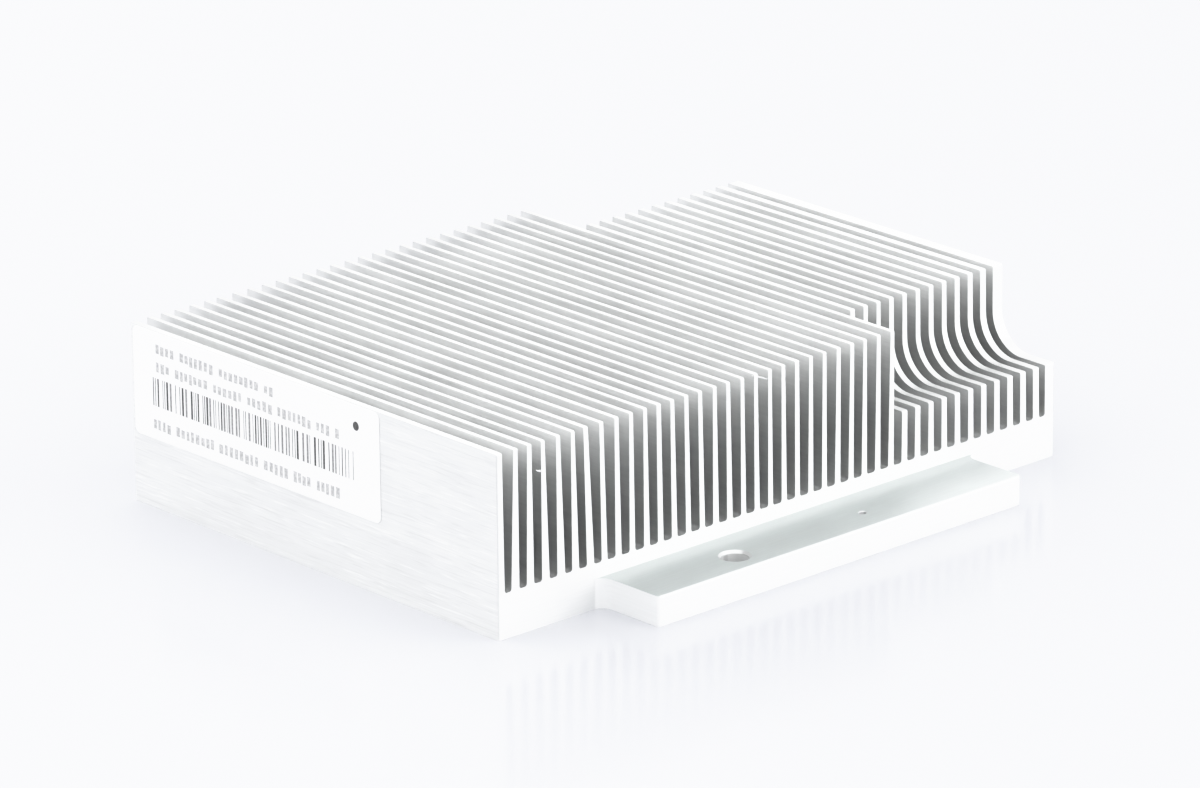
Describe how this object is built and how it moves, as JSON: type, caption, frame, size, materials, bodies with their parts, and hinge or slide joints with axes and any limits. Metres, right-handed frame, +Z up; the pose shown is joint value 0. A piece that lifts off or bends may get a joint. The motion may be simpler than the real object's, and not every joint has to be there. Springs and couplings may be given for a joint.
{
  "type": "passive server cpu heatsink",
  "caption": "One-piece finned aluminium heatsink with stepped fins at one side, two mounting flanges with guide holes, and a paper label on its side wall.",
  "frame": {"origin": "middle of the part's footprint, on the plane it stands on", "axes": "+X across the fins from the labelled side wall towards the stepped fins, +Y along the fins, +Z up from the underside"},
  "size_m": [0.1062, 0.0988, 0.0265],
  "materials": {
    "body_metal": "bare machined and tumbled, satin",
    "label_paper": "smooth white label stock"
  },
  "bodies": {
    "root": {"heatsink_body": "body_metal", "label": "label_paper"}
  },
  "joints": []
}
